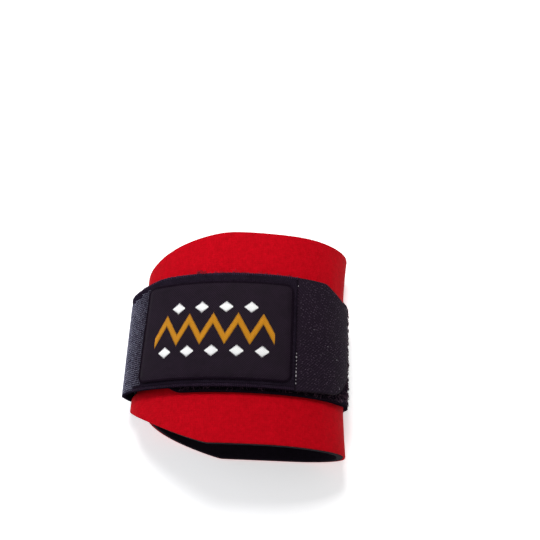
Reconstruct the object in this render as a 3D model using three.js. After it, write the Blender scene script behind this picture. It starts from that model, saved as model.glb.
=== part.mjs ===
// A wrist support, closed as it is worn: a neoprene wrap bent into a loop, with a strap sewn
// round its outside that passes through a wire ring, folds back and is held by a hook tab.
// Millimetres. X runs across the loop, Y along the wrist and Z up. The loop lies on the sewn
// strap, and Z = 0 is the surface that it lies on.

import * as THREE from 'three';

const { lerp, smoothstep, degToRad } = THREE.MathUtils;

// Gap between pieces that lie on each other
const GAP = 0.25;

// Neoprene wrap: a knit face outside, and foam with its lining inside. Its middle line lies a
// little to the near side of the strap's
const WRAP_WIDTH = 86;
const WRAP_MIDDLE = -0.2;
const FACE_THICKNESS = 0.9;
const FOAM_THICKNESS = 2.3;
const WRAP_THICKNESS = FACE_THICKNESS + GAP + FOAM_THICKNESS;

// Both ends of the wrap narrow over a length, more evenly on the near side, and one is tucked in
// under the other
const END_WIDTH = 56;
const END_TAPER = { near: { length: 42, power: 1.2 }, far: { length: 47, power: 1.7 } };
const END_CORNER = 3;
const TUCKED_LENGTH = 14;
const TUCK_DEPTH = WRAP_THICKNESS + GAP;
const TUCK_EASES_OVER = 32;

// Beside the strap, the corners of the end that lies on top stand off, most from this Y outwards
const TIP_CURL = { near: 2.2, far: 0.3 };
const TIP_CURL_LENGTH = 22;
const TIP_CURL_ACROSS = { from: 19.55, to: 24 };

// The strap cinches the wrap, and its free rims stand out by these amounts
const RIM_FLARE = { near: 0.9, far: 1.4, top: 0.3, bottom: 1.85 };
const RIM_FLARE_POWER = 1.5;

// Strap: one band of loop tape, drawn in where it is sewn and where it passes through the ring
const STRAP_WIDTH = 46;
const STRAP_THICKNESS = 1.8;
const STRAP_SEWN = { near: -24.4, far: 19.6 };
const STRAP_AT_RIGHT = { near: -23.3, far: 19.6 };
const STRAP_AT_TIP = { near: -19.3, far: 19.6 };
const STRAP_IN_RING = { near: -22.3, far: 18.8 };
const FOLDED_END = 6;
const FOLD_EASES_OVER = 31;

// Ring of round wire that the strap passes through, and where its two bars are along the loop
const WIRE_RADIUS = 1;
const WIRE_SIDES = 10;
const RING_CORNER = 2;
const RING_FIXED_AT = 13;
const RING_FREE_AT = 5;

// Label and hook tab on the strap's folded-back run, placed along the loop
const LABEL_THICKNESS = 0.7;
const LABEL_CORNER = 2.5;
const LABEL_FROM_CREST = 16.3;
const LABEL_SIDES = { near: { y: -19.7, fromLeft: 14.3 }, far: { y: 18.6, fromLeft: 15.5 } };
const TAB_FROM_CREST = 18.3;
const TAB_LENGTH = 24.2;
const TAB_NEAR_NARROWING = 1.5;
const TAB_NEAR_CORNER = { length: 9.5, width: 11, power: 1.7 };
const TAB_FAR_CUT = { length: 13.5, width: 7.5 };

// Loop outline: the wrap's outer face under the strap, seen along the wrist
const LOOP_LEFT = -43.4;
const LOOP_LEFT_Z = 16;
const LOOP_RIGHT = 41;
const LOOP_RIGHT_Z = 14;
const LOOP_TOP_X = 0.5;
const LOOP_TOP = 41.6;
const LOOP_BOTTOM = GAP + STRAP_THICKNESS;
const FLAT_FROM = -23;
const FLAT_TO = 22;

// Each quarter turns anticlockwise about its centre, and power 2 makes it an ellipse
const QUARTERS = [
  { x: FLAT_FROM, z: LOOP_LEFT_Z, toX: LOOP_LEFT, toZ: LOOP_BOTTOM, power: 2, from: 180 },
  { x: FLAT_TO, z: LOOP_RIGHT_Z, toX: LOOP_RIGHT, toZ: LOOP_BOTTOM, power: 2, from: 270 },
  { x: LOOP_TOP_X, z: LOOP_RIGHT_Z, toX: LOOP_RIGHT, toZ: LOOP_TOP, power: 2.16, from: 0 },
  { x: LOOP_TOP_X, z: LOOP_LEFT_Z, toX: LOOP_LEFT, toZ: LOOP_TOP, power: 1.9, from: 90 },
];
const STEPS_PER_QUARTER = 60;

// Spacing of the sections along the loop and round the strap's folds, and how far to either side
// of a place the loop's direction there is measured
const SECTION_STEP = 4;
const FOLD_STEPS = 9;
const TANGENT_REACH = 0.5;

// Outline: a closed line that starts at the loop's left and runs down, round and over the top
function quarterPoints({ x, z, toX, toZ, power, from }) {
  const points = [];
  for (let step = 0; step <= STEPS_PER_QUARTER; step += 1) {
    const angle = degToRad(from + (90 * step) / STEPS_PER_QUARTER);
    const across = Math.abs(Math.cos(angle)) ** (2 / power);
    const up = Math.abs(Math.sin(angle)) ** (2 / power);
    points.push(new THREE.Vector2(x + (toX - x) * across, z + (toZ - z) * up));
  }
  return points;
}

const outline = QUARTERS.flatMap(quarterPoints);
const distances = [0];
for (let i = 1; i < outline.length; i += 1) {
  distances.push(distances[i - 1] + outline[i].distanceTo(outline[i - 1]));
}
const LOOP_LENGTH = distances.at(-1);
const RIGHTMOST = distances[2 * (STEPS_PER_QUARTER + 1)];
const CREST = distances[3 * (STEPS_PER_QUARTER + 1)];
const FOLD_AT = LOOP_LENGTH + RING_FREE_AT;

// Stretch at the bottom in which the loop runs level
const LEVEL = {
  from: distances[STEPS_PER_QUARTER] + TANGENT_REACH,
  to: distances[STEPS_PER_QUARTER + 1] - TANGENT_REACH,
};

// Sides of the strap, by distance along the loop on its sewn run and past the fold on its top run
const SEWN_RUN_SIDES = [
  { at: RING_FIXED_AT + 3, ...STRAP_IN_RING },
  { at: RING_FIXED_AT + 13, ...STRAP_SEWN },
  { at: LEVEL.to, ...STRAP_SEWN },
  { at: RIGHTMOST, ...STRAP_AT_RIGHT },
  { at: CREST - 40, ...STRAP_SEWN },
  { at: LOOP_LENGTH - 31, ...STRAP_SEWN },
  { at: LOOP_LENGTH - 18, ...STRAP_AT_TIP },
  { at: LOOP_LENGTH + 0.5, ...STRAP_AT_TIP },
  { at: FOLD_AT - 0.5, ...STRAP_IN_RING },
];
const TOP_RUN_SIDES = [
  { at: 6, ...STRAP_IN_RING },
  { at: 11, near: -22.9, far: STRAP_IN_RING.far },
  { at: 32, near: -STRAP_WIDTH / 2, far: STRAP_WIDTH / 2 },
];

// Point of the outline at a distance along it, or past either end
function outlinePoint(distance) {
  const along = THREE.MathUtils.euclideanModulo(distance, LOOP_LENGTH);
  const next = distances.findIndex((value) => value > along);
  const share = (along - distances[next - 1]) / (distances[next] - distances[next - 1]);
  return outline[next - 1].clone().lerp(outline[next], share);
}

// Point raised off the outline along its outward normal
function raised(distance, height) {
  const tangent = outlinePoint(distance + TANGENT_REACH);
  tangent.sub(outlinePoint(distance - TANGENT_REACH)).normalize();
  const normal = new THREE.Vector2(tangent.y, -tangent.x);
  return { point: outlinePoint(distance).addScaledVector(normal, height), normal, tangent };
}

// Closed solid between an outer and an inner grid of points, a row of them per section
function sheetSolid(outerRows, innerRows) {
  const sections = outerRows.length;
  const columns = outerRows[0].length;
  const points = [...outerRows.flat(), ...innerRows.flat()];
  const outer = (i, j) => i * columns + j;
  const inner = (i, j) => (sections + i) * columns + j;
  const triangles = [];
  const quad = (a, b, c, d) => triangles.push(a, b, c, a, c, d);
  for (let i = 0; i + 1 < sections; i += 1) {
    for (let j = 0; j + 1 < columns; j += 1) {
      quad(outer(i, j), outer(i, j + 1), outer(i + 1, j + 1), outer(i + 1, j));
      quad(inner(i, j), inner(i + 1, j), inner(i + 1, j + 1), inner(i, j + 1));
    }
    const last = columns - 1;
    quad(outer(i, 0), outer(i + 1, 0), inner(i + 1, 0), inner(i, 0));
    quad(outer(i, last), inner(i, last), inner(i + 1, last), outer(i + 1, last));
  }
  for (let j = 0; j + 1 < columns; j += 1) {
    const end = sections - 1;
    quad(outer(0, j), inner(0, j), inner(0, j + 1), outer(0, j + 1));
    quad(outer(end, j), outer(end, j + 1), inner(end, j + 1), inner(end, j));
  }
  const geometry = new THREE.BufferGeometry().setFromPoints(points);
  geometry.setIndex(triangles);
  geometry.computeVertexNormals();
  return geometry;
}

// Distances from one place to another, evenly spaced, with more close to both ends
function sectionsBetween(from, to) {
  const closeToEnd = [0, 0.6, 1.8];
  const count = Math.round((to - from) / SECTION_STEP);
  const places = closeToEnd.map((share) => from + share);
  for (let i = 1; i < count; i += 1) {
    places.push(from + ((to - from) * i) / count);
  }
  return [...places, ...closeToEnd.map((share) => to - share).reverse()];
}

// How far a rounded corner pulls a sheet's side in, near its end
function cornerInset(fromEnd, radius) {
  if (fromEnd >= radius) return 0;
  return radius - Math.sqrt(radius ** 2 - (radius - fromEnd) ** 2);
}

// Neoprene wrap
const WRAP_FROM = -TUCKED_LENGTH;
const WRAP_TO = LOOP_LENGTH - GAP;

// How far one side of the wrap lies from its middle line
function wrapHalfWidth(distance, { length, power }) {
  const fromEnd = Math.min(Math.max(distance, 0), WRAP_TO - distance);
  const narrowing = Math.max(0, 1 - fromEnd / length) ** power;
  const half = WRAP_WIDTH / 2 - ((WRAP_WIDTH - END_WIDTH) / 2) * narrowing;
  const fromTip = Math.min(distance - WRAP_FROM, WRAP_TO - distance);
  return half - cornerInset(fromTip, END_CORNER);
}

function tuckInset(distance) {
  return TUCK_DEPTH * (1 - smoothstep(distance, GAP, TUCK_EASES_OVER));
}

function tipCurl(distance, y) {
  const towardTip = smoothstep(distance, WRAP_TO - TIP_CURL_LENGTH, WRAP_TO);
  const side = y > 0 ? TIP_CURL.far : TIP_CURL.near;
  return side * towardTip * smoothstep(Math.abs(y), TIP_CURL_ACROSS.from, TIP_CURL_ACROSS.to);
}

function rimFlare(normal, y) {
  const past = Math.max(0, Math.abs(y) - STRAP_WIDTH / 2) / ((WRAP_WIDTH - STRAP_WIDTH) / 2);
  const side = y > 0 ? RIM_FLARE.far : RIM_FLARE.near;
  const toward = normal.y > 0 ? RIM_FLARE.top : RIM_FLARE.bottom;
  return lerp(side, toward, Math.abs(normal.y)) * past ** RIM_FLARE_POWER;
}

// Columns across the wrap: the strap's middle and edges, and shares of the free margins
const WRAP_COLUMNS = [
  { strap: -1, margin: -1 },
  { strap: -1, margin: -0.55 },
  { strap: -1, margin: 0 },
  { strap: -0.85, margin: 0 },
  { strap: 0.85, margin: 0 },
  { strap: 1, margin: 0 },
  { strap: 1, margin: 0.55 },
  { strap: 1, margin: 1 },
];

function wrapLayer(outerDepth, innerDepth) {
  const rowsAt = (depth) => sectionsBetween(WRAP_FROM, WRAP_TO).map((distance) => {
    const { normal } = raised(distance, 0);
    const margins = {
      near: wrapHalfWidth(distance, END_TAPER.near) - WRAP_MIDDLE - STRAP_WIDTH / 2,
      far: wrapHalfWidth(distance, END_TAPER.far) + WRAP_MIDDLE - STRAP_WIDTH / 2,
    };
    return WRAP_COLUMNS.map((column) => {
      const margin = column.strap < 0 ? margins.near : margins.far;
      const y = (column.strap * STRAP_WIDTH) / 2 + column.margin * margin;
      const standsOut = rimFlare(normal, y) + tipCurl(distance, y);
      const height = standsOut - tuckInset(distance) - depth;
      const { point } = raised(distance, height);
      return new THREE.Vector3(point.x, y, point.y);
    });
  });
  return sheetSolid(rowsAt(outerDepth), rowsAt(innerDepth));
}

// Strap: its runs lie on the wrap and on each other, and its folds go round the ring's bars
const FIRST_RUN = GAP + STRAP_THICKNESS / 2;
const SECOND_RUN = FIRST_RUN + STRAP_THICKNESS + GAP;
const BAR_FOLD = WIRE_RADIUS + GAP + STRAP_THICKNESS / 2;
const TAB_START = CREST - TAB_FROM_CREST;

const fixedBar = raised(RING_FIXED_AT, FIRST_RUN + BAR_FOLD - tuckInset(RING_FIXED_AT));
const freeBar = raised(FOLD_AT, FIRST_RUN + BAR_FOLD);

function topRunHeight(distance) {
  const fromFold = FOLD_AT - distance;
  return lerp(FIRST_RUN + 2 * BAR_FOLD, SECOND_RUN, smoothstep(fromFold, 1, FOLD_EASES_OVER));
}

// The strap's two sides at a place, eased between the rows of a table
function sidesAt(rows, at) {
  const last = rows.findLast((row) => row.at <= at) ?? rows[0];
  const next = rows.find((row) => row.at > at) ?? last;
  const share = last === next ? 0 : smoothstep(at, last.at, next.at);
  return { near: lerp(last.near, next.near, share), far: lerp(last.far, next.far, share) };
}

// Half turn of the strap round a bar, from one side of it over the given middle direction
function foldRound(bar, start, middle) {
  const stations = [];
  for (let step = 0; step <= FOLD_STEPS; step += 1) {
    const angle = (Math.PI * step) / FOLD_STEPS;
    const point = bar.point.clone();
    point.addScaledVector(start, BAR_FOLD * Math.cos(angle));
    point.addScaledVector(middle, BAR_FOLD * Math.sin(angle));
    stations.push({ point, turned: BAR_FOLD * (angle - Math.PI / 2) });
  }
  return stations;
}

function strapStations() {
  const stations = [];
  for (const share of [0, 0.35, 0.7]) {
    const distance = RING_FIXED_AT + FOLDED_END * (1 - share);
    const height = lerp(SECOND_RUN, FIRST_RUN + 2 * BAR_FOLD, smoothstep(share, 0, 1));
    const { point } = raised(distance, height - tuckInset(distance));
    stations.push({ point, ...STRAP_IN_RING });
  }
  const back = fixedBar.tangent.clone().negate();
  for (const { point } of foldRound(fixedBar, fixedBar.normal, back)) {
    stations.push({ point, ...STRAP_IN_RING });
  }
  const bent = sectionsBetween(RING_FIXED_AT, FOLD_AT).slice(1, -1);
  const sewn = [
    ...bent.filter((distance) => distance < LEVEL.from - SECTION_STEP / 2),
    LEVEL.from,
    LEVEL.to,
    ...bent.filter((distance) => distance > LEVEL.to + SECTION_STEP / 2),
  ];
  for (const distance of sewn) {
    const { point } = raised(distance, FIRST_RUN - tuckInset(distance));
    stations.push({ point, ...sidesAt(SEWN_RUN_SIDES, distance) });
  }
  const inward = freeBar.normal.clone().negate();
  for (const { point, turned } of foldRound(freeBar, inward, freeBar.tangent)) {
    stations.push({ point, ...sidesAt(TOP_RUN_SIDES, turned) });
  }
  const turnedAtEnd = (BAR_FOLD * Math.PI) / 2;
  const topRun = sectionsBetween(TAB_START, FOLD_AT).slice(0, -1).reverse();
  for (const distance of topRun) {
    const { point } = raised(distance, topRunHeight(distance));
    stations.push({ point, ...sidesAt(TOP_RUN_SIDES, turnedAtEnd + FOLD_AT - distance) });
  }
  return stations;
}

function strapSolid() {
  const stations = strapStations();
  const rowsAt = (height) => stations.map(({ point, near, far }, i) => {
    const before = stations[Math.max(i - 1, 0)].point;
    const after = stations[Math.min(i + 1, stations.length - 1)].point;
    const tangent = after.clone().sub(before).normalize();
    const x = point.x + tangent.y * height;
    const z = point.y - tangent.x * height;
    return [near, far].map((y) => new THREE.Vector3(x, y, z));
  });
  return sheetSolid(rowsAt(STRAP_THICKNESS / 2), rowsAt(-STRAP_THICKNESS / 2));
}

// Flat patch on the strap's top run: where each of its sides ends, and its Y along the way
function topPatch({ from, near, far, underside, thickness }) {
  const rowsAt = (height) => sectionsBetween(from, far.to).map((place) => {
    const share = (place - from) / (far.to - from);
    return [near, far].map(({ to, yAt }) => {
      const distance = lerp(from, to, share);
      const { point } = raised(distance, topRunHeight(distance) + height);
      return new THREE.Vector3(point.x, yAt(distance), point.y);
    });
  });
  return sheetSolid(rowsAt(underside + thickness), rowsAt(underside));
}

function labelSolid() {
  const from = CREST - LABEL_FROM_CREST;
  const sideOf = ({ y, fromLeft }) => {
    const to = LOOP_LENGTH - fromLeft;
    const inset = (distance) => cornerInset(Math.min(distance - from, to - distance), LABEL_CORNER);
    return { to, yAt: (distance) => y - Math.sign(y) * inset(distance) };
  };
  return topPatch({
    from,
    near: sideOf(LABEL_SIDES.near),
    far: sideOf(LABEL_SIDES.far),
    underside: STRAP_THICKNESS / 2 + GAP,
    thickness: LABEL_THICKNESS,
  });
}

function hookTabSolid() {
  const from = TAB_START - TAB_LENGTH;
  const to = TAB_START - GAP;
  const half = STRAP_WIDTH / 2;
  const nearSide = (distance) => {
    const { length, width, power } = TAB_NEAR_CORNER;
    const intoCorner = Math.max(0, 1 - (distance - from) / length);
    const narrowing = TAB_NEAR_NARROWING * (1 - (distance - from) / TAB_LENGTH);
    return narrowing - half + width * (1 - (1 - intoCorner ** power) ** (1 / power));
  };
  const uncut = (distance) => Math.min(1, (distance - from) / TAB_FAR_CUT.length);
  return topPatch({
    from,
    near: { to, yAt: nearSide },
    far: { to, yAt: (distance) => half - TAB_FAR_CUT.width * (1 - uncut(distance)) },
    underside: -STRAP_THICKNESS / 2,
    thickness: STRAP_THICKNESS,
  });
}

// Ring: round wire bent to a rectangle with rounded corners, in the plane of its two bars
function ringSolid() {
  const depthLine = freeBar.point.clone().sub(fixedBar.point);
  const middle = fixedBar.point.clone().addScaledVector(depthLine, 0.5);
  const halfDepth = depthLine.length() / 2;
  const { near, far } = STRAP_IN_RING;
  const halfWidth = (far - near) / 2 + RING_CORNER;
  const depthAxis = new THREE.Vector3(depthLine.x, 0, depthLine.y).normalize();
  const widthAxis = new THREE.Vector3(0, 1, 0);
  const planeNormal = new THREE.Vector3().crossVectors(depthAxis, widthAxis);
  const rim = [];
  const stepsPerCorner = 4;
  const corners = [{ d: 1, w: 1 }, { d: -1, w: 1 }, { d: -1, w: -1 }, { d: 1, w: -1 }];
  corners.forEach(({ d, w }, quarter) => {
    for (let step = 0; step <= stepsPerCorner; step += 1) {
      const angle = (Math.PI / 2) * (quarter + step / stepsPerCorner);
      const out = new THREE.Vector3();
      out.addScaledVector(depthAxis, Math.cos(angle)).addScaledVector(widthAxis, Math.sin(angle));
      const centre = new THREE.Vector3(middle.x, (near + far) / 2, middle.y);
      centre.addScaledVector(depthAxis, d * (halfDepth - RING_CORNER));
      centre.addScaledVector(widthAxis, w * (halfWidth - RING_CORNER));
      rim.push({ centre: centre.addScaledVector(out, RING_CORNER), out });
    }
  });
  const points = rim.flatMap(({ centre, out }) => {
    const section = [];
    for (let side = 0; side < WIRE_SIDES; side += 1) {
      const angle = (2 * Math.PI * side) / WIRE_SIDES;
      const point = centre.clone().addScaledVector(out, WIRE_RADIUS * Math.cos(angle));
      section.push(point.addScaledVector(planeNormal, WIRE_RADIUS * Math.sin(angle)));
    }
    return section;
  });
  const triangles = [];
  for (let i = 0; i < rim.length; i += 1) {
    const here = i * WIRE_SIDES;
    const next = ((i + 1) % rim.length) * WIRE_SIDES;
    for (let side = 0; side < WIRE_SIDES; side += 1) {
      const turn = (side + 1) % WIRE_SIDES;
      triangles.push(here + side, next + side, next + turn, here + side, next + turn, here + turn);
    }
  }
  const geometry = new THREE.BufferGeometry().setFromPoints(points);
  geometry.setIndex(triangles);
  geometry.computeVertexNormals();
  return geometry;
}

// Pieces
const red = new THREE.MeshStandardMaterial({ color: 0xc4040f, roughness: 0.9, metalness: 0 });
const black = new THREE.MeshStandardMaterial({ color: 0x121114, roughness: 0.85, metalness: 0 });
const tape = new THREE.MeshStandardMaterial({ color: 0x1c1a22, roughness: 0.9, metalness: 0 });
const satin = new THREE.MeshStandardMaterial({ color: 0x241f22, roughness: 0.6, metalness: 0 });
const hook = new THREE.MeshStandardMaterial({ color: 0x19171d, roughness: 0.8, metalness: 0 });
const steel = new THREE.MeshStandardMaterial({ color: 0xc9ccd2, roughness: 0.25, metalness: 1 });

function piece(name, geometry, material) {
  const mesh = new THREE.Mesh(geometry, material);
  mesh.name = name;
  return mesh;
}

const wristSupport = new THREE.Group();
wristSupport.add(
  piece('outer_face', wrapLayer(0, FACE_THICKNESS), red),
  piece('foam_lining', wrapLayer(FACE_THICKNESS + GAP, WRAP_THICKNESS), black),
  piece('strap', strapSolid(), tape),
  piece('ring', ringSolid(), steel),
  piece('label', labelSolid(), satin),
  piece('hook_tab', hookTabSolid(), hook),
);

export default wristSupport;
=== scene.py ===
import math

import bpy
import numpy as np
from mathutils import Matrix, Vector


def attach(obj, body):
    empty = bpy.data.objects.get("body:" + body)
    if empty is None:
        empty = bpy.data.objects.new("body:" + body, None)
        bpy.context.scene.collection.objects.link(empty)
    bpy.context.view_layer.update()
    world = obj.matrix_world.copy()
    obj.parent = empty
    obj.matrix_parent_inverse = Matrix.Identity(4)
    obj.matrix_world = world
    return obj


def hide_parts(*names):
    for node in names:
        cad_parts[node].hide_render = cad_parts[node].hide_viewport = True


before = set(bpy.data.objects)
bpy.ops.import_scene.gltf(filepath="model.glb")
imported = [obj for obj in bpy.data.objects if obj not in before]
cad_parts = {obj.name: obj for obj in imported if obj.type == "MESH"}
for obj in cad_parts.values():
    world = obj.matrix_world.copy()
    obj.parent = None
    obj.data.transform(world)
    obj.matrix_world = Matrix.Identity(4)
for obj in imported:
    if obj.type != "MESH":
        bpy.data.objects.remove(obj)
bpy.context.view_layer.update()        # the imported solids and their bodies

# Knit face
# The wrap is a strip of neoprene with two narrowed ends, bent into a loop with one end tucked in
# under the other. Its outside is a red stretch knit, bonded to the foam before the strip is cut.

WRAP_WIDTH = 0.086
WRAP_MIDDLE = -0.0002
FACE_THICKNESS = 0.0009
FACE_SHRINKS = 0.00015
FOAM_THICKNESS = 0.0023
LAYER_GAP = 0.00025
WRAP_THICKNESS = FACE_THICKNESS + LAYER_GAP + FOAM_THICKNESS
END_WIDTH = 0.056
END_TAPER = {"near": {"length": 0.042, "power": 1.2}, "far": {"length": 0.047, "power": 1.7}}
END_CORNER = 0.003
TUCKED_LENGTH = 0.014
TUCK_DEPTH = WRAP_THICKNESS + LAYER_GAP
TUCK_EASES_OVER = 0.032
TIP_CURL = {"near": 0.0022, "far": 0.0003}
TIP_CURL_LENGTH = 0.022
TIP_CURL_ACROSS = {"from": 0.01955, "to": 0.024}
RIM_FLARE = {"near": 0.0009, "far": 0.0014, "top": 0.0003, "bottom": 0.00185}
RIM_FLARE_POWER = 1.5
RIM_WAVE = {"height": 0.00022, "length": 0.031}
PUCKER = {"height": 0.00012, "length": 0.0085, "reach": 0.007, "sets_in_over": 0.002}
WAVES_START = (0.02, 0.05)
WAVES_FADE_BELOW = (-0.8, 0.2)
EDGE_FULLNESS = 0.25
EDGE_ROWS = 7
STRAP_WIDTH = 0.046
STRAP_THICKNESS = 0.0018

LOOP_LEFT = -0.0434
LOOP_LEFT_Z = 0.016
LOOP_RIGHT = 0.041
LOOP_RIGHT_Z = 0.014
LOOP_TOP_X = 0.0005
LOOP_TOP = 0.0416
LOOP_BOTTOM = LAYER_GAP + STRAP_THICKNESS
LEVEL_FROM = -0.023
LEVEL_TO = 0.022
PATH_STEP = 0.0005
QUARTER_POINTS = 400
QUARTERS = (
    {"x": LEVEL_FROM, "z": LOOP_LEFT_Z, "to_x": LOOP_LEFT, "to_z": LOOP_BOTTOM, "power": 2.0, "start": 180},
    {"x": LEVEL_TO, "z": LOOP_RIGHT_Z, "to_x": LOOP_RIGHT, "to_z": LOOP_BOTTOM, "power": 2.0, "start": 270},
    {"x": LOOP_TOP_X, "z": LOOP_RIGHT_Z, "to_x": LOOP_RIGHT, "to_z": LOOP_TOP, "power": 2.16, "start": 0},
    {"x": LOOP_TOP_X, "z": LOOP_LEFT_Z, "to_x": LOOP_LEFT, "to_z": LOOP_TOP, "power": 1.9, "start": 90},
)


def evenly_spaced(rows, step):
    """Rows at even steps along the line of their first two columns, and each one's distance."""
    steps = np.linalg.norm(np.diff(rows[:, :2], axis=0), axis=1)
    distances = np.concatenate([[0], np.cumsum(steps)])
    places = np.linspace(0, distances[-1], round(distances[-1] / step) + 1)
    return np.stack([np.interp(places, distances, column) for column in rows.T], 1), places


def quarter_points(quarter):
    """Points of one quarter of the loop, seen along the wrist."""
    angle = np.radians(quarter["start"] + np.linspace(0, 90, QUARTER_POINTS))
    across = np.abs(np.cos(angle)) ** (2 / quarter["power"])
    up = np.abs(np.sin(angle)) ** (2 / quarter["power"])
    x = quarter["x"] + (quarter["to_x"] - quarter["x"]) * across
    z = quarter["z"] + (quarter["to_z"] - quarter["z"]) * up
    return np.stack([x, z], 1)


LOOP, LOOP_PLACES = evenly_spaced(np.concatenate([quarter_points(q) for q in QUARTERS]), PATH_STEP)
LOOP_LENGTH = LOOP_PLACES[-1]
CREST = LOOP_PLACES[LOOP[:, 1].argmax()]
RIGHTMOST = LOOP_PLACES[LOOP[:, 0].argmax()]
LEVEL_ENDS_AT = LOOP_PLACES[np.argmax(LOOP[:, 0] > LEVEL_TO)]
WRAP_FROM = -TUCKED_LENGTH
WRAP_TO = LOOP_LENGTH - LAYER_GAP


def ease(value, start, end):
    """Smooth step from 0 at the start to 1 at the end."""
    share = np.clip((value - start) / (end - start), 0, 1)
    return share * share * (3 - 2 * share)


def loop_point(distance):
    """Points of the loop at distances along it, or past either end."""
    wrapped = np.mod(distance, LOOP_LENGTH)
    return np.stack([np.interp(wrapped, LOOP_PLACES, column) for column in LOOP.T], -1)


def loop_directions(distance):
    """Unit tangents and outward normals of the loop at distances along it."""
    tangent = loop_point(distance + PATH_STEP) - loop_point(distance - PATH_STEP)
    tangent = tangent / np.linalg.norm(tangent, axis=-1, keepdims=True)
    return tangent, np.stack([tangent[..., 1], -tangent[..., 0]], -1)


def corner_inset(from_end, radius):
    """How far a rounded corner pulls a sheet's side in, near its end."""
    left = np.clip(radius - from_end, 0, radius)
    return radius - np.sqrt(radius**2 - left**2)


def wrap_half_width(distance, taper):
    """How far one side of the wrap lies from its middle line."""
    from_end = np.minimum(np.maximum(distance, 0), WRAP_TO - distance)
    narrowing = np.clip(1 - from_end / taper["length"], 0, 1) ** taper["power"]
    half = WRAP_WIDTH / 2 - (WRAP_WIDTH - END_WIDTH) / 2 * narrowing
    return half - corner_inset(np.minimum(distance - WRAP_FROM, WRAP_TO - distance), END_CORNER)


def tuck_inset(distance):
    """How far the tucked end lies inside the loop."""
    return TUCK_DEPTH * (1 - ease(distance, LAYER_GAP, TUCK_EASES_OVER))


def wrap_rise(distance, y):
    """Height of the wrap's outside over the loop: rims stand out, and one end is tucked in."""
    up = loop_directions(distance)[1][..., 1]
    past = np.maximum(0, np.abs(y) - STRAP_WIDTH / 2)
    share = past / ((WRAP_WIDTH - STRAP_WIDTH) / 2)
    side = np.where(y > 0, RIM_FLARE["far"], RIM_FLARE["near"])
    toward = np.where(up > 0, RIM_FLARE["top"], RIM_FLARE["bottom"])
    flare = (side + (toward - side) * np.abs(up)) * share**RIM_FLARE_POWER
    curl = np.where(y > 0, TIP_CURL["far"], TIP_CURL["near"])
    curl = curl * ease(distance, WRAP_TO - TIP_CURL_LENGTH, WRAP_TO)
    curl = curl * ease(np.abs(y), TIP_CURL_ACROSS["from"], TIP_CURL_ACROSS["to"])
    clear = ease(up, *WAVES_FADE_BELOW) * ease(distance, *WAVES_START)
    waves = RIM_WAVE["height"] * share**2 * np.sin(2 * np.pi * distance / RIM_WAVE["length"] + np.sign(y))
    fade = np.exp(-past / PUCKER["reach"]) * ease(past, 0, PUCKER["sets_in_over"])
    ripple = 1 + np.sin(2 * np.pi * distance / PUCKER["length"] + 2 * np.sign(y))
    return flare + curl - tuck_inset(distance) + clear * (waves - PUCKER["height"] * fade * ripple)


def graded(start, end, step, margin):
    """Places from start to end in even steps, closer together in a margin at both ends."""
    close = margin * (1 - np.cos(np.linspace(0, np.pi / 2, EDGE_ROWS)))
    count = max(2, round((end - start - 2 * margin) / step))
    middle = np.linspace(start + margin, end - margin, count + 1)[1:-1]
    return np.concatenate([start + close, middle, end - close[::-1]])


def flat_sheet(name, along, near, far, step, edge, outside, inside, lean=lambda x, y: 0):
    """Closed sheet, flat on the cutting table, with X along it, Y across it and rounded edges.

    near and far are its sides at each place along it. From the places along and across, outside
    and inside give the heights of its two faces, and lean how far the cut is moved along.
    """
    shares = graded(0, 1, step / (far - near).max(), edge / (far - near).max())
    x = np.repeat(along[:, None], len(shares), 1)
    y = near[:, None] + (far - near)[:, None] * shares
    from_side = np.minimum(y - near[:, None], far[:, None] - y)
    from_edge = np.minimum(from_side, np.minimum(x - along[0], along[-1] - x))
    fullness = EDGE_FULLNESS + (1 - EDGE_FULLNESS) * np.sqrt(1 - np.clip(1 - from_edge / edge, 0, 1) ** 2)
    middle = (outside(x, y) + inside(x, y)) / 2
    half = (outside(x, y) - inside(x, y)) / 2 * fullness
    moved = x + lean(x, y)
    heights = (middle + half, middle - half)
    points = np.concatenate([np.stack([moved, y, z], -1).reshape(-1, 3) for z in heights])
    index = np.arange(x.size).reshape(x.shape)
    lower = index + x.size

    def quads(a, b, c, d):
        return np.stack([a.ravel(), b.ravel(), c.ravel(), d.ravel()], 1)

    faces = np.concatenate([
        quads(index[:-1, :-1], index[1:, :-1], index[1:, 1:], index[:-1, 1:]),
        quads(lower[:-1, :-1], lower[:-1, 1:], lower[1:, 1:], lower[1:, :-1]),
        quads(index[:-1, 0], lower[:-1, 0], lower[1:, 0], index[1:, 0]),
        quads(index[:-1, -1], index[1:, -1], lower[1:, -1], lower[:-1, -1]),
        quads(index[0, :-1], index[0, 1:], lower[0, 1:], lower[0, :-1]),
        quads(index[-1, :-1], lower[-1, :-1], lower[-1, 1:], index[-1, 1:]),
    ])
    sheet = mesh_piece(name, points.tolist(), faces=faces.tolist())
    flat = sheet.data.attributes.new("flat", "FLOAT_VECTOR", "POINT")
    flat.data.foreach_set("vector", points.astype(np.float32).ravel())
    return sheet


def new_piece(name, data):
    piece = bpy.data.objects.new(name, data)
    bpy.context.scene.collection.objects.link(piece)
    return piece


def mesh_piece(name, points, edges=(), faces=()):
    """Piece with a mesh of its own name."""
    mesh = bpy.data.meshes.new(name)
    mesh.from_pydata(points, edges, faces)
    return new_piece(name, mesh)


def path_curve(name, line, closed):
    """Curve through the points of a line in the loop's plane."""
    curve = bpy.data.curves.new(name, "CURVE")
    curve.dimensions = "3D"
    spline = curve.splines.new("POLY")
    spline.points.add(len(line) - 1)
    rows = np.stack([line[:, 0], 0 * line[:, 0], line[:, 1], 1 + 0 * line[:, 0]], 1)
    spline.points.foreach_set("co", rows.astype(np.float32).ravel())
    spline.use_cyclic_u = closed
    return new_piece(name, curve)


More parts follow.
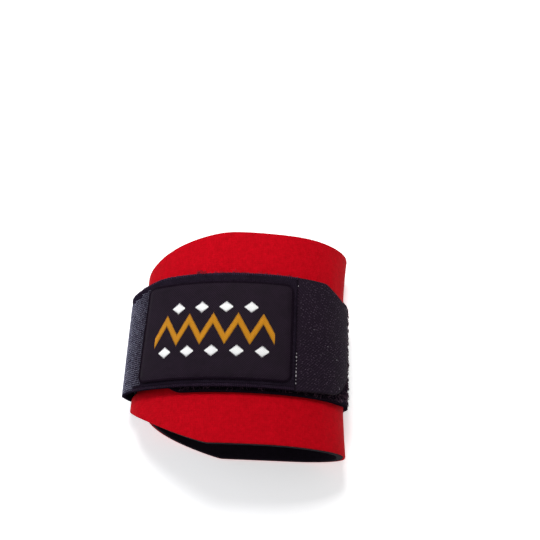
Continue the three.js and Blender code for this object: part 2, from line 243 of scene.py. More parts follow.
def socketed_tree(name, kind, inputs, outputs):
    """Node tree with named sockets, and the sockets to take from and give to."""
    tree = bpy.data.node_groups.new(name, kind)
    for side, sockets in (("INPUT", inputs), ("OUTPUT", outputs)):
        for socket, socket_type in sockets.items():
            tree.interface.new_socket(socket, in_out=side, socket_type="NodeSocket" + socket_type)
    return tree, tree.nodes.new("NodeGroupInput").outputs, tree.nodes.new("NodeGroupOutput").inputs


def feed(tree, socket, value):
    """Links a node's output to a socket, or sets the socket to a plain value."""
    if isinstance(value, bpy.types.NodeSocket):
        tree.links.new(value, socket)
    else:
        socket.default_value = value


def add_node(tree, kind, sockets, **settings):
    """Outputs of a new node, whose inputs are set to values or linked to other outputs."""
    node = tree.nodes.new(kind)
    for setting, value in settings.items():
        setattr(node, setting, value)
    for key, value in sockets.items():
        feed(tree, node.inputs[key], value)
    return node.outputs


def calc(tree, operation, *values):
    return add_node(tree, "ShaderNodeMath", dict(enumerate(values)), operation=operation)[0]


def vector_calc(tree, operation, *values):
    return add_node(tree, "ShaderNodeVectorMath", dict(enumerate(values)), operation=operation)[0]


def vector(tree, x, y, z):
    return add_node(tree, "ShaderNodeCombineXYZ", {"X": x, "Y": y, "Z": z})[0]


# X of a flat piece runs along the path, Y along the wrist, and Z out from the path
bend, given, result = socketed_tree(
    "Bend round a path", "GeometryNodeTree",
    {"Geometry": "Geometry", "Path": "Object"}, {"Geometry": "Geometry"},
)
path = add_node(bend, "GeometryNodeObjectInfo", {"Object": given["Path"]}, transform_space="ORIGINAL")
path = path["Geometry"]
flat = add_node(bend, "ShaderNodeSeparateXYZ", {0: add_node(bend, "GeometryNodeInputPosition", {})[0]})
along = calc(bend, "FLOORED_MODULO", flat["X"], add_node(bend, "GeometryNodeCurveLength", {0: path})[0])
sample = add_node(bend, "GeometryNodeSampleCurve", {"Curves": path, "Length": along}, mode="LENGTH")
outward = vector_calc(bend, "CROSS_PRODUCT", (0, 1, 0), sample["Tangent"])
outward = add_node(bend, "ShaderNodeVectorMath", {0: outward}, operation="NORMALIZE")[0]
rise = add_node(bend, "ShaderNodeVectorMath", {0: outward, "Scale": flat["Z"]}, operation="SCALE")[0]
place = vector_calc(bend, "ADD", sample["Position"], rise)
place = vector_calc(bend, "ADD", place, vector(bend, 0, flat["Y"], 0))
moved = add_node(bend, "GeometryNodeSetPosition", {"Geometry": given["Geometry"], "Position": place})[0]
bend.links.new(add_node(bend, "GeometryNodeFlipFaces", {"Mesh": moved})[0], result["Geometry"])


def bent_tree(name, *sizes):
    """Tree that takes a flat piece, its path and material, and named sizes with a seed."""
    inputs = {"Geometry": "Geometry", "Path": "Object", "Material": "Material"}
    if sizes:
        inputs |= dict.fromkeys(sizes, "Float") | {"Seed": "Int"}
    return socketed_tree(name, "GeometryNodeTree", inputs, {"Geometry": "Geometry"})


def close_tree(tree, geometry, given, result):
    """Ends a tree: what was laid out flat is made real, bent round its path and given its material."""
    real = add_node(tree, "GeometryNodeRealizeInstances", {0: geometry})[0]
    bent = add_node(tree, "GeometryNodeGroup", {"Geometry": real, "Path": given["Path"]}, node_tree=bend)[0]
    smooth = add_node(tree, "GeometryNodeSetShadeSmooth", {0: bent})[0]
    sockets = {"Geometry": smooth, "Material": given["Material"]}
    tree.links.new(add_node(tree, "GeometryNodeSetMaterial", sockets)[0], result["Geometry"])


def run_tree(piece, tree, **inputs):
    """Runs a tree on a piece, and keeps what it makes as the piece's plain mesh."""
    modifier = piece.modifiers.new(tree.name, "NODES")
    modifier.node_group = tree
    for item in tree.interface.items_tree:
        key = item.name.lower().replace(" ", "_")
        if item.in_out == "INPUT" and key in inputs:
            modifier[item.identifier] = inputs[key]
    graph = bpy.context.evaluated_depsgraph_get()
    mesh = bpy.data.meshes.new_from_object(
        piece.evaluated_get(graph), preserve_all_data_layers=True, depsgraph=graph
    )
    piece.modifiers.remove(modifier)
    piece.data = mesh
    return piece


bent_sheet, given, result = bent_tree("Bent sheet")
close_tree(bent_sheet, given["Geometry"], given, result)


def new_material(name, **constants):
    """Material, its node tree and the sockets of its shader, some of them set to constants."""
    material = bpy.data.materials.new(name)
    material.use_nodes = True
    shader = material.node_tree.nodes["Principled BSDF"]
    for socket, value in constants.items():
        shader.inputs[socket.replace("_", " ").title().replace("Ior", "IOR")].default_value = value
    return material, material.node_tree, shader.inputs


def mixed(tree, share, low, high):
    """Colour between two colours."""
    node = tree.nodes.new("ShaderNodeMix")
    node.data_type = "RGBA"
    for wanted, value in ((("Factor", "VALUE"), share), (("A", "RGBA"), low), (("B", "RGBA"), high)):
        feed(tree, next(socket for socket in node.inputs if (socket.name, socket.type) == wanted), value)
    return next(socket for socket in node.outputs if socket.type == "RGBA")


def bumped(tree, shader, height, strength, distance):
    sockets = {"Height": height, "Strength": strength, "Distance": distance}
    tree.links.new(add_node(tree, "ShaderNodeBump", sockets)[0], shader["Normal"])


def grouped(tree, group, **inputs):
    """Output of a shader group, placed in a material with its own values."""
    sockets = {name.title(): value for name, value in inputs.items()}
    return add_node(tree, "ShaderNodeGroup", sockets, node_tree=group)[0]


def flat_place(tree):
    """Where each point of a sheet lay on the cutting table."""
    return add_node(tree, "ShaderNodeAttribute", {}, attribute_name="flat")["Vector"]


# Jersey knit: columns of stitches like small letters V
knit, given, result = socketed_tree(
    "Jersey knit", "ShaderNodeTree",
    {"Flat": "Vector", "Wale": "Float", "Course": "Float"}, {"Height": "Float"},
)
flat = add_node(knit, "ShaderNodeSeparateXYZ", {0: given["Flat"]})
column = calc(knit, "FRACT", calc(knit, "DIVIDE", flat["Y"], given["Wale"]))
from_middle = calc(knit, "ABSOLUTE", calc(knit, "MULTIPLY_ADD", column, 2.0, -1.0))
row = calc(knit, "DIVIDE", flat["X"], given["Course"])
phase = calc(knit, "MULTIPLY", calc(knit, "MULTIPLY_ADD", from_middle, 0.6, row), 2 * math.pi)
yarn = calc(knit, "MULTIPLY_ADD", calc(knit, "COSINE", phase), 0.35, 0.65)
ridge = calc(knit, "SUBTRACT", 1.0, calc(knit, "POWER", from_middle, 3.0))
groove = calc(knit, "SMOOTH_MIN", calc(knit, "MULTIPLY", from_middle, 4.0), 1.0, 0.4)
knit.links.new(calc(knit, "MULTIPLY", yarn, calc(knit, "MULTIPLY", ridge, groove)), result["Height"])

# Mottle: cloudy light and dark, with a fine grain in it
mottle, given, result = socketed_tree(
    "Mottle", "ShaderNodeTree", {"Cloud": "Float", "Grain": "Float"}, {"Value": "Float"}
)
here = add_node(mottle, "ShaderNodeTexCoord", {})["Object"]
scales = [calc(mottle, "DIVIDE", 1.0, given[size]) for size in ("Cloud", "Grain")]
clouds, grains = [
    add_node(mottle, "ShaderNodeTexNoise", {"Vector": here, "Scale": scale, "Detail": 3.0})["Fac"]
    for scale in scales
]
both = calc(mottle, "ADD", calc(mottle, "MULTIPLY", clouds, 0.5), calc(mottle, "MULTIPLY", grains, 0.5))
mottle.links.new(calc(mottle, "MULTIPLY_ADD", both, 2.2, -0.6), result["Value"])


def knit_material(name, light, dark, wale, course, depth, **constants):
    """Knit cloth whose stitches run along the piece, a little lighter and darker all over."""
    material, tree, shader = new_material(name, **constants)
    stitches = grouped(tree, knit, flat=flat_place(tree), wale=wale, course=course)
    spots = grouped(tree, mottle, cloud=0.002, grain=0.0008)
    share = calc(tree, "MULTIPLY_ADD", stitches, 0.4, calc(tree, "MULTIPLY", spots, 0.6))
    tree.links.new(mixed(tree, share, dark, light), shader["Base Color"])
    tree.links.new(calc(tree, "MULTIPLY_ADD", spots, 0.12, 0.78), shader["Roughness"])
    bumped(tree, shader, calc(tree, "MULTIPLY_ADD", spots, 0.35, stitches), 0.5, depth)
    return material


RED_LIGHT = (0.64, 0.0022, 0.0115, 1)
RED_DARK = (0.32, 0.0, 0.003, 1)
red_knit = knit_material(
    "red knit", RED_LIGHT, RED_DARK, wale=0.00085, course=0.0007, depth=0.00012,
    specular_ior_level=0.04, sheen_weight=0.03, sheen_roughness=0.5, sheen_tint=(1, 0.15, 0.15, 1),
)

wrap_along = graded(WRAP_FROM, WRAP_TO, step=0.0013, margin=END_CORNER)
wrap_near = WRAP_MIDDLE - wrap_half_width(wrap_along, END_TAPER["near"])
wrap_far = WRAP_MIDDLE + wrap_half_width(wrap_along, END_TAPER["far"])
loop_path = path_curve("loop_path", LOOP[:-1], closed=True)
knit_face = flat_sheet(
    "knit_face", wrap_along, wrap_near + FACE_SHRINKS, wrap_far - FACE_SHRINKS, step=0.0013, edge=0.0004,
    outside=wrap_rise, inside=lambda x, y: wrap_rise(x, y) - FACE_THICKNESS,
)
run_tree(knit_face, bent_sheet, path=loop_path, material=red_knit)
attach(knit_face, "root")
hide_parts("outer_face")

# Foam and lining
# Black foam with a thin black knit lining on its inner side, glued to the back of the red knit.
# It is cut with it, so the foam shows as a black line along both rims and round the two ends.

LINING_LIGHT = (0.0145, 0.0092, 0.0165, 1)
LINING_DARK = (0.004, 0.0025, 0.0046, 1)
black_lining = knit_material(
    "black lining", LINING_LIGHT, LINING_DARK, wale=0.0009, course=0.0008, depth=0.00012,
    specular_ior_level=0.04, sheen_weight=0.01, sheen_roughness=0.5,
)
GLUE_LINE = 0.00004
foam_lining = flat_sheet(
    "foam_and_lining", wrap_along, wrap_near, wrap_far, step=0.0016, edge=0.0005,
    outside=lambda x, y: wrap_rise(x, y) - FACE_THICKNESS - GLUE_LINE,
    inside=lambda x, y: wrap_rise(x, y) - WRAP_THICKNESS,
)
run_tree(foam_lining, bent_sheet, path=loop_path, material=black_lining)
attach(foam_lining, "root")
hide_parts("foam_lining")
bpy.data.objects.remove(loop_path)

# Wire ring
# A rectangle of round plated wire. The strap's start is folded round one bar of it and sewn down,
# and the strap then comes all round the wrap and back through it, so only its corners show.

WIRE_RADIUS = 0.001
WIRE_SIDES = 20
RING_CORNER = 0.002
RING_CORNER_POINTS = 9
RING_FIXED_AT = 0.013
RING_FREE_AT = 0.005
STRAP_IN_RING = {"near": -0.0223, "far": 0.0188}
FOLD_AT = LOOP_LENGTH + RING_FREE_AT
FIRST_RUN = LAYER_GAP + STRAP_THICKNESS / 2
SECOND_RUN = FIRST_RUN + STRAP_THICKNESS + LAYER_GAP
BAR_FOLD = WIRE_RADIUS + LAYER_GAP + STRAP_THICKNESS / 2


def raised(distance, height):
    """Points over the loop at distances along it."""
    return loop_point(distance) + loop_directions(distance)[1] * np.asarray(height)[..., None]


fixed_bar = raised(RING_FIXED_AT, FIRST_RUN + BAR_FOLD - tuck_inset(RING_FIXED_AT))
free_bar = raised(FOLD_AT, FIRST_RUN + BAR_FOLD)
bars = np.stack([fixed_bar, free_bar])
ring_reach = (bars[1] - bars[0]) / np.linalg.norm(bars[1] - bars[0])
ring_middle = (STRAP_IN_RING["near"] + STRAP_IN_RING["far"]) / 2
ring_half = (np.linalg.norm(bars[1] - bars[0]) / 2, STRAP_IN_RING["far"] - ring_middle + RING_CORNER)


def rounded_rectangle(half, radius, corner_points):
    """Places round a rectangle with rounded corners, along it and across it from its middle."""
    corners = []
    for quarter, signs in enumerate(((1, 1), (-1, 1), (-1, -1), (1, -1))):
        angle = np.pi / 2 * (quarter + np.linspace(0, 1, corner_points))
        middle = np.array(signs) * (np.array(half) - radius)
        corners.append(middle + radius * np.stack([np.cos(angle), np.sin(angle)], 1))
    return np.concatenate(corners)


depth, width = rounded_rectangle(ring_half, RING_CORNER, RING_CORNER_POINTS).T
ring_line = bars.mean(0) + depth[:, None] * ring_reach
ring_line = np.stack([ring_line[:, 0], ring_middle + width, ring_line[:, 1]], 1)
ring_edges = [(i, (i + 1) % len(ring_line)) for i in range(len(ring_line))]

wire_tree, given, result = socketed_tree(
    "Round wire", "GeometryNodeTree",
    {"Geometry": "Geometry", "Wire Radius": "Float", "Sides": "Int", "Material": "Material"},
    {"Geometry": "Geometry"},
)
centre_line = add_node(wire_tree, "GeometryNodeMeshToCurve", {"Mesh": given["Geometry"]})[0]
section = add_node(
    wire_tree, "GeometryNodeCurvePrimitiveCircle",
    {"Resolution": given["Sides"], "Radius": given["Wire Radius"]},
)[0]
wire = add_node(wire_tree, "GeometryNodeCurveToMesh", {"Curve": centre_line, "Profile Curve": section})[0]
wire = add_node(wire_tree, "GeometryNodeSetShadeSmooth", {0: wire})[0]
wire = add_node(wire_tree, "GeometryNodeRealizeInstances", {0: wire})[0]
wire = add_node(wire_tree, "GeometryNodeSetMaterial", {"Geometry": wire, "Material": given["Material"]})[0]
wire_tree.links.new(wire, result["Geometry"])

plated, tree, shader = new_material("plated wire", metallic=1.0, base_color=(0.55, 0.56, 0.58, 1))
spots = grouped(tree, mottle, cloud=0.004, grain=0.0004)
tree.links.new(calc(tree, "MULTIPLY_ADD", spots, 0.2, 0.2), shader["Roughness"])
bumped(tree, shader, spots, 0.15, 0.00003)
wire_ring = mesh_piece("wire_ring", ring_line.tolist(), ring_edges)
run_tree(wire_ring, wire_tree, wire_radius=WIRE_RADIUS, sides=WIRE_SIDES, material=plated)
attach(wire_ring, "root")
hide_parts("ring")

# Strap
# One long band of loop tape, with loop pile on one side and a twill back on the other. It is sewn
# round the wrap with its pile outwards, and past the ring it lies back on itself, twill side up.

STRAP_SEWN = {"near": -0.0244, "far": 0.0196}
STRAP_AT_RIGHT = {"near": -0.0233, "far": 0.0196}
STRAP_AT_TIP = {"near": -0.0193, "far": 0.0196}
FAR_IN_FOLD = 0.0194
FOLDED_END = 0.006
FOLDED_END_POINTS = 16
FOLDED_END_STOPS_AT = 0.95
NOT_ON_LOOP = -1
FOLD_EASES_OVER = (0.001, 0.031)
HALF_TURN = BAR_FOLD * np.pi / 2
HALF_TURN_POINTS = 30
TAB_FROM_CREST = 0.0183
TAB_START = CREST - TAB_FROM_CREST
TAB_LENGTH = 0.0242
PATH_PAST_TAB = 0.004
PILE_HEIGHT = 0.0005
BEAD = {"inset": 0.0007, "width": 0.0006, "height": 0.0001}
BEAD_GROOVE = {"inset": 0.0022, "width": 0.0005, "share": 0.7}
STRAP_COLUMNS = {"x": 0, "z": 1, "near": 2, "far": 3, "loop": 4}
pile_side = STRAP_THICKNESS / 2 - PILE_HEIGHT
twill_side = -STRAP_THICKNESS / 2
SEWN_RUN_SIDES = (
    {"at": RING_FIXED_AT + 0.003, **STRAP_IN_RING},
    {"at": RING_FIXED_AT + 0.013, **STRAP_SEWN},
    {"at": LEVEL_ENDS_AT, **STRAP_SEWN},
    {"at": RIGHTMOST, **STRAP_AT_RIGHT},
    {"at": CREST - 0.04, **STRAP_SEWN},
    {"at": LOOP_LENGTH - 0.031, **STRAP_SEWN},
    {"at": LOOP_LENGTH - 0.018, **STRAP_AT_TIP},
    {"at": LOOP_LENGTH + 0.0005, **STRAP_AT_TIP},
    {"at": FOLD_AT - 0.0005, **STRAP_IN_RING},
)
TOP_RUN_SIDES = (
    {"at": -HALF_TURN, **STRAP_IN_RING},
    {"at": 0.0, "near": STRAP_IN_RING["near"], "far": FAR_IN_FOLD},
    {"at": 0.006, "near": STRAP_IN_RING["near"], "far": FAR_IN_FOLD},
    {"at": 0.011, "near": -0.0229, "far": FAR_IN_FOLD},
    {"at": 0.032, "near": -STRAP_WIDTH / 2, "far": STRAP_WIDTH / 2},
)


def top_run_height(distance):
    """Height of the top run over the loop, which sinks from the ring to the sewn run."""
    sunk = ease(FOLD_AT - distance, *FOLD_EASES_OVER)
    return FIRST_RUN + 2 * BAR_FOLD + (SECOND_RUN - FIRST_RUN - 2 * BAR_FOLD) * sunk


def sides_at(rows, places):
    """The strap's near and far sides at places, eased between the rows of a table."""
    sides = []
    for side in ("near", "far"):
        value = np.full(np.shape(places), rows[0][side])
        for last, after in zip(rows, rows[1:]):
            value = value + (after[side] - last[side]) * ease(places, last["at"], after["at"])
        sides.append(value)
    return sides


def half_turn(bar, start, middle):
    """Points of the strap's half turn round a bar, and how far each lies past its middle."""
    angle = np.linspace(0, np.pi, HALF_TURN_POINTS)[1:-1]
    points = bar + BAR_FOLD * (np.cos(angle)[:, None] * start + np.sin(angle)[:, None] * middle)
    return points, BAR_FOLD * (angle - np.pi / 2)


def stretch(points, near, far, loop):
    """Rows of the strap's line, in the order of STRAP_COLUMNS."""
    whole = np.ones(len(points))
    return np.column_stack([points, near * whole, far * whole, loop * whole])


def past_fold(points, past):
    """Rows of the strap's line from the ring on."""
    return stretch(points, *sides_at(TOP_RUN_SIDES, past), FOLD_AT + HALF_TURN + past)


def strap_rows():
    """The strap's line from its folded start to the end of the hook tab."""
    share = np.linspace(0, FOLDED_END_STOPS_AT, FOLDED_END_POINTS)
    place = RING_FIXED_AT + FOLDED_END * (1 - share)
    height = SECOND_RUN + (FIRST_RUN + 2 * BAR_FOLD - SECOND_RUN) * ease(share, 0, 1)
    in_ring = STRAP_IN_RING.values()
    rows = [stretch(raised(place, height - tuck_inset(place)), *in_ring, NOT_ON_LOOP)]
    tangent, normal = loop_directions(np.array(RING_FIXED_AT))
    rows.append(stretch(half_turn(fixed_bar, normal, -tangent)[0], *in_ring, NOT_ON_LOOP))
    place = np.arange(RING_FIXED_AT, FOLD_AT, PATH_STEP)
    sewn = raised(place, FIRST_RUN - tuck_inset(place))
    rows.append(stretch(sewn, *sides_at(SEWN_RUN_SIDES, place), place))
    tangent, normal = loop_directions(np.array(FOLD_AT))
    rows.append(past_fold(*half_turn(free_bar, -normal, tangent)))
    place = np.arange(FOLD_AT, TAB_START - TAB_LENGTH - PATH_PAST_TAB, -PATH_STEP)
    rows.append(past_fold(raised(place, top_run_height(place)), HALF_TURN + FOLD_AT - place))
    return np.concatenate(rows)


STRAP_LINE, STRAP_PLACES = evenly_spaced(strap_rows(), PATH_STEP)


def strap_place(loop):
    """Distance along the strap of a place on its sewn run, counted along the loop."""
    return float(np.interp(loop, STRAP_LINE[:, STRAP_COLUMNS["loop"]], STRAP_PLACES))


def top_run_place(loop):
    """Distance along the strap of a place on its top run, counted along the loop."""
    return strap_place(2 * (FOLD_AT + HALF_TURN) - loop)


def strap_at(places, column):
    """One column of the strap's line at distances along it."""
    return np.interp(places, STRAP_PLACES, STRAP_LINE[:, STRAP_COLUMNS[column]])


def strap_bead(places, y):
    """Rise of the strap's rolled edge, with a groove beside it."""
    from_side = np.minimum(y - strap_at(places, "near"), strap_at(places, "far") - y)
    rolled, groove = (
        np.exp(-(((from_side - form["inset"]) / form["width"]) ** 2)) for form in (BEAD, BEAD_GROOVE)
    )
    return BEAD["height"] * (rolled - BEAD_GROOVE["share"] * groove)


# Twill: slanting ridges of warp over weft, leaning the other way in every second band
twill, given, result = socketed_tree(
    "Twill", "ShaderNodeTree",
    {"Flat": "Vector", "Ridge": "Float", "Band": "Float"}, {"Height": "Float"},
)
flat = add_node(twill, "ShaderNodeSeparateXYZ", {0: given["Flat"]})
folded = calc(twill, "PINGPONG", flat["Y"], given["Band"])
slant = calc(twill, "DIVIDE", calc(twill, "ADD", flat["X"], folded), given["Ridge"])
ridges = calc(twill, "SINE", calc(twill, "MULTIPLY", slant, 2 * math.pi))
ridges = calc(twill, "MULTIPLY_ADD", ridges, 0.5, 0.5)
threads = calc(twill, "MULTIPLY", calc(twill, "DIVIDE", flat["Y"], given["Ridge"]), 4 * math.pi)
threads = calc(twill, "MULTIPLY_ADD", calc(twill, "SINE", threads), 0.5, 0.5)
height = calc(twill, "MULTIPLY", ridges, calc(twill, "MULTIPLY_ADD", threads, 0.4, 0.6))
twill.links.new(height, result["Height"])

SPECK_COLOUR = (0.2, 0.19, 0.21, 1)


def woven_material(name, light, dark, ridge, band, depth, specks=0.0, painted_shade_from=None, **constants):
    """Woven tape with twill ridges, cloudy all over, and with small pale specks in it.

    Painted shade: from a given flat height up, on its sides and its other face, it has the dark colour alone.
    """
    material, tree, shader = new_material(name, **constants)
    flat = flat_place(tree)
    ridges = grouped(tree, twill, flat=flat, ridge=ridge, band=band)
    spots = grouped(tree, mottle, cloud=0.005, grain=0.0005)
    share = calc(tree, "MULTIPLY", ridges, calc(tree, "MULTIPLY_ADD", spots, 0.9, 0.1))
    # Painted shade: the tape's sides and other face keep the dark colour
    if painted_shade_from is not None:
        height = add_node(tree, "ShaderNodeSeparateXYZ", {0: flat})["Z"]
        share = calc(tree, "MULTIPLY", share, calc(tree, "LESS_THAN", height, painted_shade_from))
    colour = mixed(tree, share, dark, light)
    if specks:
        cell = add_node(tree, "ShaderNodeTexVoronoi", {"Vector": flat, "Scale": 620.0, "Randomness": 1.0})
        lot = add_node(tree, "ShaderNodeSeparateColor", {0: cell["Color"]})[0]
        chosen = calc(tree, "GREATER_THAN", lot, 1 - specks)
        dot = calc(tree, "MULTIPLY", chosen, calc(tree, "LESS_THAN", cell["Distance"], 0.16))
        colour = mixed(tree, dot, colour, SPECK_COLOUR)
    tree.links.new(colour, shader["Base Color"])
    tree.links.new(calc(tree, "MULTIPLY_ADD", spots, 0.2, 0.62), shader["Roughness"])
    bumped(tree, shader, calc(tree, "MULTIPLY_ADD", spots, 0.3, ridges), 0.6, depth)
    return material


TAPE_LIGHT = (0.038, 0.027, 0.046, 1)
TAPE_DARK = (0.006, 0.004, 0.0072, 1)
# The loop tape's sides and pile face are painted in shade.
loop_tape = woven_material(
    "loop tape", TAPE_LIGHT, TAPE_DARK, ridge=0.0007, band=0.0022, depth=0.0002, painted_shade_from=-0.0007,
    specular_ior_level=0.0, sheen_weight=0.03, sheen_roughness=0.4, sheen_tint=(0.5, 0.45, 1, 1),
)
strap_length = top_run_place(TAB_START)
strap_along = graded(0.0, strap_length, step=0.0008, margin=0.0006)
strap_path = path_curve("strap_path", STRAP_LINE, closed=False)
loop_strap = flat_sheet(
    "loop_strap", strap_along, strap_at(strap_along, "near"), strap_at(strap_along, "far"),
    step=0.0007, edge=0.0006,
    outside=lambda x, y: pile_side + strap_bead(x, y),
    inside=lambda x, y: twill_side - strap_bead(x, y),
)
run_tree(loop_strap, bent_sheet, path=strap_path, material=loop_tape)
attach(loop_strap, "root")
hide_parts("strap")

# Edge threads and seams of the strap
# The weft turns back at both sides of the tape and makes a corded edge, with a painted highlight on the far
# side.
# One row of black lockstitch along each side holds the strap to the wrap.


def random_between(tree, low, high, seed):
    """Number between two others, drawn for each point."""
    sockets = {2: low, 3: high, "Seed": seed}
    return add_node(tree, "FunctionNodeRandomValue", sockets, data_type="FLOAT")[1]


def turn_by(tree, angles):
    """Rotation by angles about X, Y and Z."""
    return add_node(tree, "FunctionNodeEulerToRotation", {0: angles})[0]


def thread_round(tree, segments, rings, size):
    """Ball drawn out to a length, width and height."""
    sockets = {"Segments": segments, "Rings": rings, "Radius": 0.5}
    ball = add_node(tree, "GeometryNodeMeshUVSphere", sockets)[0]
    return add_node(tree, "GeometryNodeTransform", {"Geometry": ball, "Scale": size})[0]


def planted(tree, points, instance, rotation, size):
    """One instance on each point, turned and sized."""
    sockets = {"Points": points, "Instance": instance, "Rotation": rotation}
    sockets["Scale"] = vector(tree, size, size, size)
    return add_node(tree, "GeometryNodeInstanceOnPoints", sockets)[0]


# Stitches: short rounds of thread along a line, each turned and sized a little differently
stitch_row, given, result = bent_tree("Stitch row", "Pitch", "Stitch Length", "Thread", "Turn", "Uneven")
line = add_node(stitch_row, "GeometryNodeMeshToCurve", {"Mesh": given["Geometry"]})[0]
points = add_node(
    stitch_row, "GeometryNodeCurveToPoints", {"Curve": line, "Length": given["Pitch"]}, mode="LENGTH"
)
along = add_node(stitch_row, "FunctionNodeAlignRotationToVector", {"Vector": points["Tangent"]}, axis="X")[0]
jitter = random_between(stitch_row, -0.09, 0.09, given["Seed"])
turn = turn_by(stitch_row, vector(stitch_row, 0, 0, calc(stitch_row, "ADD", jitter, given["Turn"])))
turned = add_node(stitch_row, "FunctionNodeRotateRotation", {0: along, 1: turn}, rotation_space="LOCAL")[0]
least = calc(stitch_row, "SUBTRACT", 1.0, given["Uneven"])
size = random_between(stitch_row, least, 1.0, given["Seed"])
shape = vector(stitch_row, given["Stitch Length"], given["Thread"], given["Thread"])
stitches = planted(stitch_row, points["Points"], thread_round(stitch_row, 8, 6, shape), turned, size)
close_tree(stitch_row, stitches, given, result)


def sewn(name, lines, **inputs):
    """Piece of stitches along flat lines of points."""
    edges, count = [], 0
    for line in lines:
        edges += [(count + i, count + i + 1) for i in range(len(line) - 1)]
        count += len(line)
    piece = mesh_piece(name, np.concatenate(lines).tolist(), edges)
    return run_tree(piece, stitch_row, path=strap_path, **inputs)


def thread_material(name, light, dark, painted_highlight=None, **constants):
    """Spun thread, with the slant of its plies as fine light and dark bands.

    A painted highlight, if given, has its colour and the X from which and to which it grows.
    """
    material, tree, shader = new_material(name, **constants)
    here = add_node(tree, "ShaderNodeTexCoord", {})["Object"]
    plies = add_node(
        tree, "ShaderNodeTexWave", {"Vector": here, "Scale": 900.0, "Distortion": 2.0},
        bands_direction="DIAGONAL",
    )["Fac"]
    # Painted highlight: the thread pales towards the highlight's colour along X
    if painted_highlight:
        x = add_node(tree, "ShaderNodeSeparateXYZ", {0: here})["X"]
        highlight_share = add_node(tree, "ShaderNodeMapRange", {"Value": x, 1: painted_highlight["from"], 2: painted_highlight["to"]})[0]
        light = mixed(tree, highlight_share, light, painted_highlight["light"])
    tree.links.new(mixed(tree, plies, dark, light), shader["Base Color"])
    bumped(tree, shader, plies, 0.4, 0.00005)
    return material


LINE_STEP = 0.001


def beside(side, inset, start, end, height):
    """Flat line along one side of the strap, at an inset from it."""
    places = np.arange(start, end, LINE_STEP)
    inward = inset if side == "near" else -inset
    return np.column_stack([places, strap_at(places, side) + inward, height + 0 * places])


def along_sides(inset, start, end, height):
    return [beside(side, inset, start, end, height) for side in ("near", "far")]


black_thread = thread_material(
    "black thread", (0.033, 0.0168, 0.036, 1), (0.0066, 0.003, 0.0076, 1),
    roughness=0.7, specular_ior_level=0.04,
)
STRAP_SEAM = {"inset": 0.0022, "past_ring": 0.008, "before_tip": 0.02}
sewn_start = strap_place(RING_FIXED_AT + STRAP_SEAM["past_ring"])
sewn_end = strap_place(LOOP_LENGTH - STRAP_SEAM["before_tip"])
strap_seams = sewn(
    "strap_seams", along_sides(STRAP_SEAM["inset"], sewn_start, sewn_end, pile_side),
    pitch=0.0026, stitch_length=0.0021, thread=0.0005, turn=0.0, uneven=0.15, seed=3, material=black_thread,
)
CORD = {
    "pitch": 0.0008, "stitch_length": 0.0015, "thread": 0.0006, "turn": math.pi / 2, "uneven": 0.3, "seed": 5,
}
CORD_INSET = 0.0006
CORD_SUNK = 0.00008
NEAR_CORD_FROM_TIP = 0.011
FAR_CORD_PAST_FOLD = 0.001
PILE_CORD_START = 0.001
cord_starts = {
    "near": top_run_place(LOOP_LENGTH - NEAR_CORD_FROM_TIP),
    "far": strap_place(FOLD_AT + FAR_CORD_PAST_FOLD),
}
cord_threads = {
    "near": black_thread,
    # Painted highlight: the far cord's thread is paler, for the light its rounded edge catches from behind.
    "far": thread_material(
        "far cord highlight thread", (0.062, 0.033, 0.07, 1), (0.013, 0.0062, 0.015, 1),
        roughness=0.7, specular_ior_level=0.04,
    ),
}
edge_cords = [
    sewn(
        f"{side}_edge_cord", [beside(side, CORD_INSET, start, strap_length, twill_side + CORD_SUNK)],
        **CORD, material=cord_threads[side],
    )
    for side, start in cord_starts.items()
]
# Painted shade: a darker copy of the black thread, for stitches that stand in for shade in grooves
shaded_thread = thread_material(
    "shaded thread", (0.0135, 0.0068, 0.015, 1), (0.003, 0.0015, 0.0036, 1),
    roughness=0.75, specular_ior_level=0.03,
)
# The pile side's edge cords, in the darker thread as painted shade beside and under the top run
pile_cords = sewn(
    "pile_cords", along_sides(CORD_INSET, PILE_CORD_START, sewn_end, pile_side),
    **CORD, material=shaded_thread,
)
# Painted shade: a row of dark stitches along the top run's near side stands in for the shade of the groove
# beside its rolled edge.
GROOVE_INSET = 0.0015
edge_groove = sewn(
    "edge_groove", [beside("near", GROOVE_INSET, cord_starts["near"], strap_length, twill_side)],
    pitch=0.0007, stitch_length=0.001, thread=0.0005, turn=0.0, uneven=0.1, seed=6, material=shaded_thread,
)
for piece in (strap_seams, *edge_cords, pile_cords, edge_groove):
    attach(piece, "root")

# Loop pile
# Fine nylon loops cover the outer side of the sewn run, where the hooks catch. They show on the right,
# on the lower left and beside the top run, and lie flat under the loop. Worn fuzz of the same yarn
# stands along the top run's far side.

pile_tree, given, result = bent_tree("Loop pile", "Density", "Loop", "Yarn", "Tuft")
spread = add_node(
    pile_tree, "GeometryNodeDistributePointsOnFaces",
    {"Mesh": given["Geometry"], "Density": given["Density"], "Seed": given["Seed"]},
)
lean = add_node(
    pile_tree, "FunctionNodeRandomValue",
    {0: (-0.5, -0.5, 0.0), 1: (0.5, 0.5, 6.28), "Seed": given["Seed"]}, data_type="FLOAT_VECTOR",
)[0]
size = random_between(pile_tree, 0.7, 1.2, given["Seed"])
fineness = calc(pile_tree, "DIVIDE", 1.0, given["Tuft"])
tufts = add_node(pile_tree, "ShaderNodeTexNoise", {"Scale": fineness, "Detail": 0.0})[0]
tufts = calc(pile_tree, "MAXIMUM", calc(pile_tree, "MULTIPLY_ADD", tufts, 3.0, -0.5), 0.25)
size = calc(pile_tree, "MULTIPLY", size, tufts)
arc = add_node(
    pile_tree, "GeometryNodeCurveArc",
    {"Resolution": 6, "Radius": given["Loop"], "Start Angle": -0.6, "Sweep Angle": math.pi + 1.2},
)[0]
upright = add_node(pile_tree, "GeometryNodeTransform", {"Geometry": arc, "Rotation": (math.pi / 2, 0, 0)})[0]
